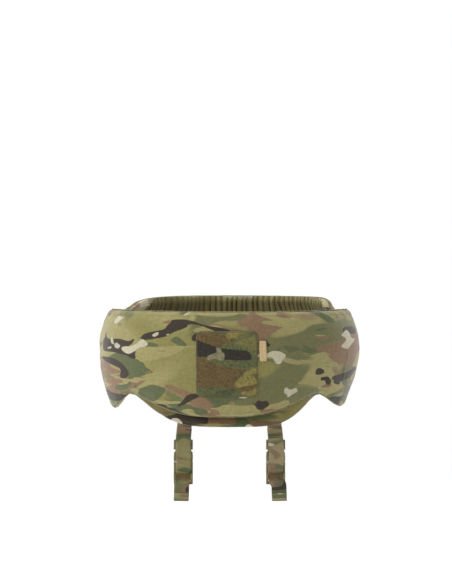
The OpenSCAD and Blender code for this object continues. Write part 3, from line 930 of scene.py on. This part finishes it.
# How strong the lining's painted light is: the pleats' height, stronger towards the right end, and
# raised within about 12 mm of the edge as a painted highlight on the rolled rim.
folds = [pleats(ua, v.co.z / MM) * (1 + 0.8 * closer(ua)) + 0.5 * (1 - ramp(ed, 4, 12))
         for ua, ed, v in zip(values(me, "ua"), values(me, "ed"), me.vertices)]
me.attributes.new("fold", "FLOAT", "POINT").data.foreach_set("value", folds)

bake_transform(rear.object)
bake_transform(bib.object)
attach(front.object, "front")
slot_all(front.object, "front_cover", "front_lining")
slot_all(rear.object, "rear_cover", "rear_lining", "left_closure_lap")
slot_all(bib.object, "bib_cover", "bib_lining")


TAPE_THICK = 0.9


def edge_tape(p, name, width, node, material):
    """Binding tape over the edge seam, all the way round."""
    def place(t, z):
        return point(p.kind, t, z, p.middle)

    ring = [q for run in p.loop(0.0, 2.5) for q in run[:-1]]
    path = []
    for i, (t, z) in enumerate(ring):
        tangent = (place(*ring[(i + 1) % len(ring)]) - place(*ring[i - 1])).normalized()
        n = out_of(p.kind, t, z)
        away = tangent.cross(n).normalized()
        c = place(t, z)
        inward = place((p.t0 + p.t1) / 2 * 0.1 + t * 0.9, z * 0.9 - 6) - c
        if away.dot(inward) > 0:
            away = -away
        path.append((c + away * (0.15 * noise.noise(c * 0.08)), away, n))
    o = ribbon(name, path, width, TAPE_THICK, material, across=6, closed=True, edge=0.7)
    slot_all(o, node)
    return o


tape = edge_tape(front, "front_edge_tape", 2.4, "front_edge_binding", TAPE_FRONT)
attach(tape, "front")
tape = edge_tape(rear, "rear_edge_tape", 2.6, "rear_edge_binding", TAPE_REAR)
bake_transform(tape)

# sewing along the edges
o = stitches("front_edge_stitching", [front.on_surface(r) for r in front.loop(5.5)], THREAD)
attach(o, "front")
runs = [rear.on_surface(r, s) for s in (1, -1) for r in rear.loop(6.0)]
o = stitches("rear_edge_stitching", runs, THREAD)
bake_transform(o)
o = stitches("bib_edge_stitching", [bib.on_surface(r) for r in bib.loop(5.0, sides="rbl")], THREAD)
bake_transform(o)


def layer(name, kind, t0, t1, high, low, start, thick, radius, material, body, node, step):
    """A layer inside or on a panel, its outer side at depth start."""
    p = Panel(name, kind, t0, t1, high, low, thick, radius, step, start=start, materials=[material])
    subdivide(p.object, 1)
    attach(p.object, body)
    slot_all(p.object, node)
    return p


# soft armour packs inside the panels
layer("front_soft_armour", FRONT, -88, 88, lambda t: front_high(t) - 13, lambda t: front_low(t) + 9,
      3.2, 6.2, 3.1, PACK, "front", "front_ballistic_pack", 9)
layer("rear_soft_armour", REAR, -79, 100, lambda t: rear_high(t) - 9, lambda t: rear_low(t) + 9,
      2.6, 7.2, 3.5, PACK, "rear", "rear_ballistic_pack", 9)
layer("bib_soft_armour", BIB, -47, 47, fixed(-98), lambda t: bib_low(t) + 6,
      2.4, 4.2, 2, PACK, "bib", "bib_ballistic_pack", 7)

STRIPS = (  # name, panel, its two ends, depth, thickness, material, body
    ("left_wing_hook_strip", FRONT, -88, -73, 12.35, 1.15, HOOK, "front"),
    ("right_wing_hook_strip", FRONT, 73, 88, 12.35, 1.15, HOOK, "front"),
    ("left_lap_loop_strip", REAR, -103, -91.5, -2.35, 2.2, LOOP, "front"),
    ("right_lap_loop_strip", REAR, 91.5, 103, -2.35, 2.2, LOOP, "rear"),
)
STRIP_TOP, STRIP_LOW = -20, -96
for name, kind, t0, t1, start, thick, mt, body in STRIPS:
    p = layer(name + "_pile", kind, t0, t1, fixed(STRIP_TOP), fixed(STRIP_LOW),
              start, thick, 1.1, mt, body, name, 3)
    side = -1 if mt is HOOK else 1
    runs = [p.on_surface(r, side) for r in p.loop(2.5)]
    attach(stitches(name + "_stitching", runs, THREAD_DARK, 2.2, 0.8, 0.22), body)

# tape of the seam that holds the bib
layer("bib_seam_band", FRONT, -53, 53, fixed(-96), fixed(-102), 12.1, 1.1, 0.6, TAPE, "front",
      "bib_seam_tape", 3)

# ---- patch field and tab on the front

AHEAD, VIEW_REACH = -170, 90
PHOTO_WAY = Vector((0, 1, 0))


def cast(x, z, tree):
    """Where a ray into the photograph at x and z meets a mesh, and the direction out there."""
    return tree.ray_cast(Vector((x, AHEAD, z)), PHOTO_WAY, VIEW_REACH)[:2]


front_tree = search_tree(front.object)


def patch_outline(x, s, w, h, r):
    """Distance from a rounded rectangle's edge, positive inside."""
    dx, dy = abs(x) - (w / 2 - r), abs(s - h / 2) - (h / 2 - r)
    return r - (hypot(max(dx, 0), max(dy, 0)) + min(max(dx, dy), 0))


def on_cloth(name, width, height, corner, top, shift, thick, cell, material, fuzz, slope=0.0):
    """A rounded rectangle lying on the front cloth; fuzz is its pile's unevenness and sewn groove."""
    nx, nz = int(width / cell), int(height / cell)
    rim_lift, rounding, groove = 0.15, 0.9, 1.6
    verts, faces, uv, places = [], [], [], {}
    for j in range(nz + 1):
        s = height * j / nz
        e = min(s, height - s)
        w = width / 2 - (0 if e >= corner else corner - sqrt(max(0, corner ** 2 - (corner - e) ** 2)))
        for i in range(nx + 1):
            x = -w + 2 * w * i / nx
            hit, n = cast(shift + x + slope * s, -top - s, front_tree)
            d = patch_outline(x, s, width, height, corner)
            edge = sqrt(min(1, max(0, d) / rounding))
            lift = rim_lift + (thick - rim_lift) * edge
            lift += fuzz * 0.5 * bumps(x * 1.3, s * 1.3, 4) * edge * ramp(d, 2.2, 3.2)
            lift -= 0.35 * fuzz * (1 - ramp(abs(d - groove), 0.3, 1.2))
            places[i, j] = len(verts)
            verts.append(hit + n * lift)
            uv.append((x * MM, -s * MM))
    base = len(verts)
    for k in range(base):
        hit, n = cast(verts[k].x, verts[k].z, front_tree)
        verts.append(hit + n * 0.05)
        uv.append(uv[k])
    for j in range(nz):
        for i in range(nx):
            q = [places[i, j], places[i, j + 1], places[i + 1, j + 1], places[i + 1, j]]
            faces += [q, [base + a for a in reversed(q)]]
    rim = ([(i, 0) for i in range(nx)] + [(nx, j) for j in range(nz)]
           + [(i, nz) for i in range(nx, 0, -1)] + [(0, j) for j in range(nz, 0, -1)])
    for a, b in zip(rim, rim[1:] + rim[:1]):
        faces.append([places[a], places[b], base + places[b], base + places[a]])
    return add(name, verts, faces, [material], [[uv[a] for a in q] for q in faces])


o = on_cloth("patch_field_pile", **PATCH, thick=2.0, cell=1.3, material=PILE_CAMO, fuzz=1.0)
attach(o, "front")
slot_all(o, "patch_field")
patch_tree = search_tree(o)


def rounded_run(width, height, corner, top, shift, inset):
    """Points of the photograph's plane along a rounded rectangle, a distance inside it."""
    w, h, r = width / 2 - inset, height / 2 - inset, max(0.5, corner - inset)
    step, parts = 0.8, 8
    pts = []
    for quarter, (sx, sz) in enumerate(((1, 1), (-1, 1), (-1, -1), (1, -1))):
        angles = [90 * quarter + 90 * k / parts for k in range(parts + 1)]
        x, z = shift + sx * (w - r), -top - height / 2 + sz * (h - r)
        pts += [Vector((x, 0, z)) for x, z in arc(x, z, r, angles)]
    pts.append(pts[0])
    out = []
    for a, b in zip(pts, pts[1:]):
        n = max(1, int((b - a).length / step))
        out += [a.lerp(b, i / n) for i in range(n)]
    return out + [pts[0]]


def sewn_on(points, tree):
    """Where those points lie on a piece, with directions half-way from the viewer's to its own."""
    hits = [cast(p.x, p.z, tree) for p in points]
    return [(hit, (-PHOTO_WAY).lerp(n, 0.5).normalized()) for hit, n in hits if hit is not None]


runs = [sewn_on(rounded_run(**PATCH, inset=inset), patch_tree) for inset in (1.5, 0.6)]
o = stitches("patch_field_stitching", runs, THREAD_BROWN, 1.9, 0.35, 0.36, 0.2)
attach(o, "front")

# tab tucked under the right edge of the patch field
o = on_cloth("side_tab_fold", 9.3, 27, 0.8, 37.5, PATCH["shift"] + 40.5 + 6.3, 1.8, 0.9, TAN, 0.0, 0.03)
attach(o, "front")
slot_all(o, "side_tab")

# ---- straps: y from the buckles' middle, z from the frame's origin

WEB_WIDTH, WEB_THICK, WEB_STEP = 20.2, 1.5, 1.6
BIB_BACK = 23.55
ANCHOR_Z = -155.4
ANCHOR_Y = face_point(STRAP_X + sway(ANCHOR_Z), ANCHOR_Z, BIB_BACK).y
BUCKLE_Y = ANCHOR_Y + 3.95
BAR_Z, FOLD_Z, GRIP_Z, TAIL_Z = -174.5, -164.5, -220.3, -253
BAR_WRAP = 3.05
ANCHOR_TOP, ANCHOR_DROP, ANCHOR_PARTS = -116, 38, 8
FOLD_ROWS, HEM_ROWS, ROW_WIDTH = (FOLD_Z - 1.6, FOLD_Z - 4.4), (-243.8, -250), 16.6
SIDEWAYS = Vector((1, 0, 0))


def lean(side, z):
    """Sideways drift of the hanging web from the buckle's middle: sewn inward, tail swung outward."""
    bow, swing = (1.5, 4.4) if side > 0 else (-0.8, 2.2)
    drift = -1.7 * (1 - ramp(-z, 150, 176))
    drift += bow * ramp(-z, 172, 193) * (1 - ramp(-z, 196, 212))
    return side * (drift + swing * ramp(-z, 223, 234) + 0.5 * ramp(-z, 234, 256))


def across_web(side, z):
    """Direction across the web at a height, square to its drift."""
    slope = (lean(side, z + 1) - lean(side, z - 1)) / 2
    return Vector((1, 0, -slope)).normalized()


def upper_web(side):
    """From the bib's back down to the socket's bar, round it and back up to its own seam."""
    centre = side * STRAP_X
    line = []
    for i in range(ANCHOR_PARTS + 1):
        z = ANCHOR_TOP - ANCHOR_DROP * i / ANCHOR_PARTS
        x = centre + lean(side, z)
        a, b = face_point(x - 8, z, BIB_BACK), face_point(x + 8, z, BIB_BACK)
        line.append((face_point(x, z, BIB_BACK) + Vector((0, 0.2, 0)), (b - a).normalized()))
    down = [(-3.9, -158.5), (-3.95, -164), (-3.6, -169)]
    back_up = [(1.4, -169.5), (-1.6, -164), (-2.25, -160)]
    for leaning, places in ((1, down), (0, arc(0, BAR_Z, BAR_WRAP, range(180, 361, 30))), (1, back_up)):
        for y, z in places:
            line.append((Vector((centre + leaning * lean(side, z), BUCKLE_Y + y, z)), SIDEWAYS))
    pts = resample([p for p, _ in line], WEB_STEP)
    path = []
    for i, c in enumerate(pts):
        k = min(range(len(line)), key=lambda q: (line[q][0] - c).length)
        near = [line[max(0, k - 1)], line[k], line[min(len(line) - 1, k + 1)]]
        weight = [1 / (0.5 + (p - c).length) for p, _ in near]
        across = sum((s * w for (_, s), w in zip(near, weight)), Vector()).normalized()
        tangent = tangent_at(pts, i)
        up = across.cross(tangent).normalized()
        path.append((c, up, up.cross(-tangent).normalized()))
    return path


def front_web(side):
    """From the folded seam straight down to the hemmed tail."""
    line = [(-5.6, FOLD_Z + 0.3), (-5.75, -172), (-6.15, -187), (-6.1, -203), (-5.7, GRIP_Z + 4),
            (-5.7, GRIP_Z - 4), (-6.0, -235), (-6.4, -244), (-6.6, TAIL_Z + 1.2)]
    line += arc(-7.4, TAIL_Z + 0.8, 0.8, (-30, -90, -150))
    line += [(-8.2, TAIL_Z + 1.6), (-8.05, -247), (-7.95, -242.8)]
    pts = resample([Vector((side * STRAP_X, BUCKLE_Y + y, z)) for y, z in line], 1.5)
    path = []
    for i, c in enumerate(pts):
        up = SIDEWAYS.cross(tangent_at(pts, i)).normalized()
        path.append((c + Vector((lean(side, c.z), 0, 0)), up, across_web(side, c.z)))
    return path


def seam(side, z, tree):
    """A row of sewing across the front web."""
    centre, across = Vector((side * STRAP_X + lean(side, z), 0, z)), across_web(side, z)
    places = [centre + across * (ROW_WIDTH * i / 24 - ROW_WIDTH / 2) for i in range(25)]
    return sewn_on(places, tree)


for side, tag in ((-1, "left"), (1, "right")):
    o = ribbon(tag + "_upper_web", upper_web(side), WEB_WIDTH, WEB_THICK, WEB[side], 0.05 * side + 0.3)
    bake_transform(o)
    slot_all(o, tag + "_carrier_web", tag + "_strap_anchor")
    o = ribbon(tag + "_front_web", front_web(side), WEB_WIDTH, WEB_THICK, WEB[side], 0.05 * side + 0.6)
    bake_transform(o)
    slot_all(o, tag + "_loop_web")
    tree = search_tree(o)
    rows = [seam(side, z, tree) for z in FOLD_ROWS]
    o = stitches(tag + "_fold_stitching", rows, THREAD_DARK, 2.0, 0.5, 0.34)
    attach(o, tag + "_strap")
    rows = [seam(side, z, tree) for z in HEM_ROWS]
    o = stitches(tag + "_hem_stitching", rows, THREAD_PALE, 2.0, 0.5, 0.32)
    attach(o, tag + "_clip")

# ---- buckles: the CAD shapes with moulded, softened edges

WELD, BEVEL_ANGLE, SHARP_ANGLE = 1e-5, 38, 42


def softened(node, body, material, width=0.35):
    """A copy of a CAD node with its sharp edges bevelled, the bevel's width in millimetres."""
    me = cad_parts[node].data.copy()
    o = new_object(node + "_moulding", me)
    me.materials.clear()
    me.materials.append(material)
    me.polygons.foreach_set("material_index", [0] * len(me.polygons))
    o.modifiers.new("weld", "WELD").merge_threshold = WELD
    b = o.modifiers.new("bevel", "BEVEL")
    b.width, b.segments = width * MM, 2
    b.limit_method, b.angle_limit = "ANGLE", radians(BEVEL_ANGLE)
    bake_modifiers(o)
    o.data.polygons.foreach_set("use_smooth", [True] * len(o.data.polygons))
    o.data.set_sharp_from_angle(angle=radians(SHARP_ANGLE))
    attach(o, body)
    slot_all(o, node)


for tag in ("left", "right"):
    softened(tag + "_buckle_socket", tag + "_strap", PLASTIC)
    softened(tag + "_buckle_clip", tag + "_clip", PLASTIC)
    softened(tag + "_grip_bar", tag + "_clip", BROWN, 0.2)
    for k in ("outer", "inner"):
        softened(f"{tag}_clip_latch_{k}", f"{tag}_latch_{k}", PLASTIC, 0.3)
